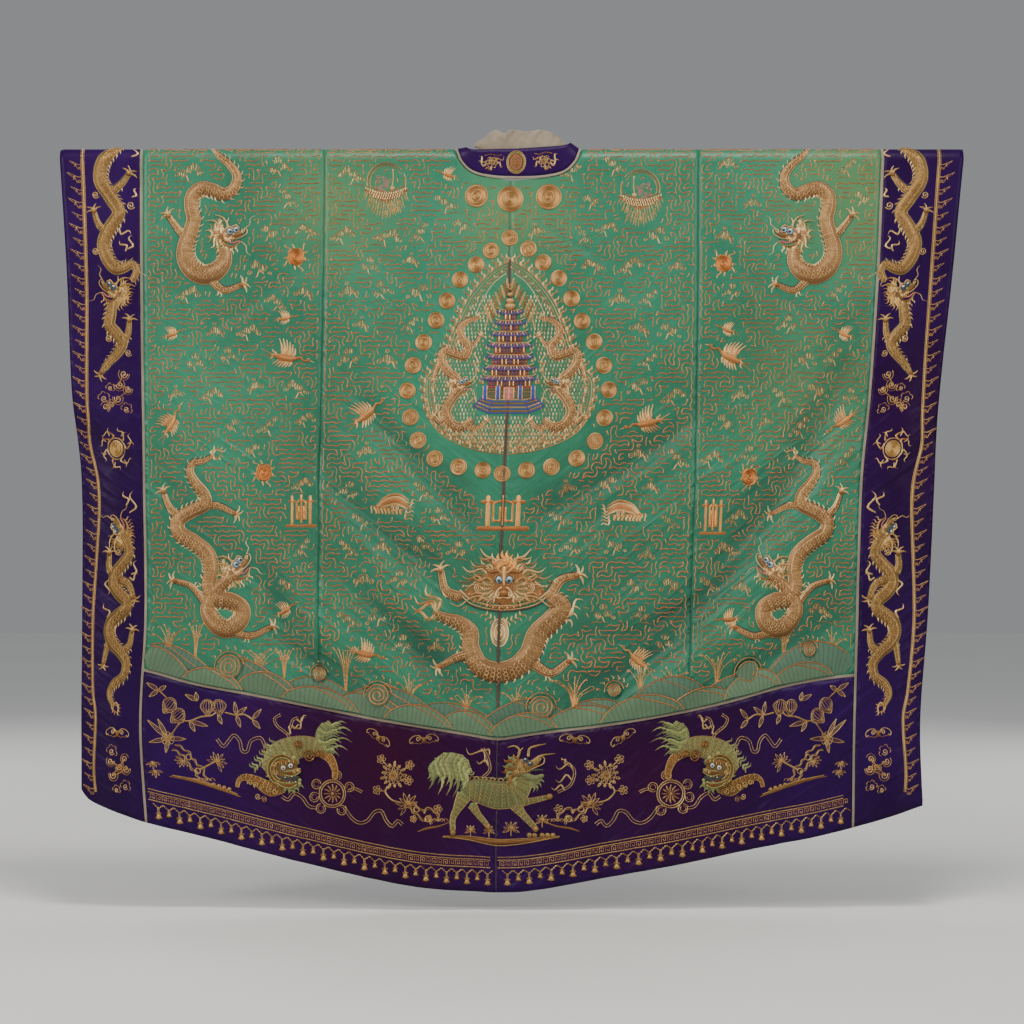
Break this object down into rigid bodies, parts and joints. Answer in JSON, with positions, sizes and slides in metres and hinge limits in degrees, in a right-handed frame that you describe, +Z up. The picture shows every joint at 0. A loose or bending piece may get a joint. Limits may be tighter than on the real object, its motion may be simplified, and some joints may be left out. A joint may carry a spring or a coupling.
{
  "type": "taoist robe on a hanging pole",
  "caption": "Open-sided embroidered ritual robe hung flat by its shoulders over a plain pole, with a banded neck and an open front.",
  "frame": {"origin": "middle of the hanging pole, on its axis, under the shoulder fold", "axes": "+X across the shoulders to the wearer's right, -Y out of the embroidered back, +Z up"},
  "size_m": [1.701, 0.0748, 1.4375],
  "materials": {
    "green_satin": "silk satin, soft sheen",
    "purple_satin": "silk satin, soft sheen",
    "white_cotton": "plain cotton, matt",
    "lining_silk": "thin plain silk",
    "gold_thread": "couched gilt thread, metallic glint",
    "coloured_silk": "silk floss embroidery",
    "pole_wood": "planed, plain"
  },
  "bodies": {
    "root": {"field_side_left": "green_satin", "field_centre_left": "green_satin", "field_centre_right": "green_satin", "field_side_right": "green_satin", "side_border_left": "purple_satin", "side_border_right": "purple_satin", "side_piping_left": "white_cotton", "side_piping_right": "white_cotton", "hem_border_back_left": "purple_satin", "hem_border_back_right": "purple_satin", "hem_border_front_left": "purple_satin", "hem_border_front_right": "purple_satin", "hem_piping_back_left": "white_cotton", "hem_piping_back_right": "white_cotton", "hem_piping_front_left": "white_cotton", "hem_piping_front_right": "white_cotton", "neckband_back": "purple_satin", "neckband_front_left": "purple_satin", "neckband_front_right": "purple_satin", "neck_piping_back": "white_cotton", "neck_piping_front_left": "white_cotton", "neck_piping_front_right": "white_cotton", "collar_guard": "white_cotton", "hanging_pole": "pole_wood"}
  },
  "joints": []
}
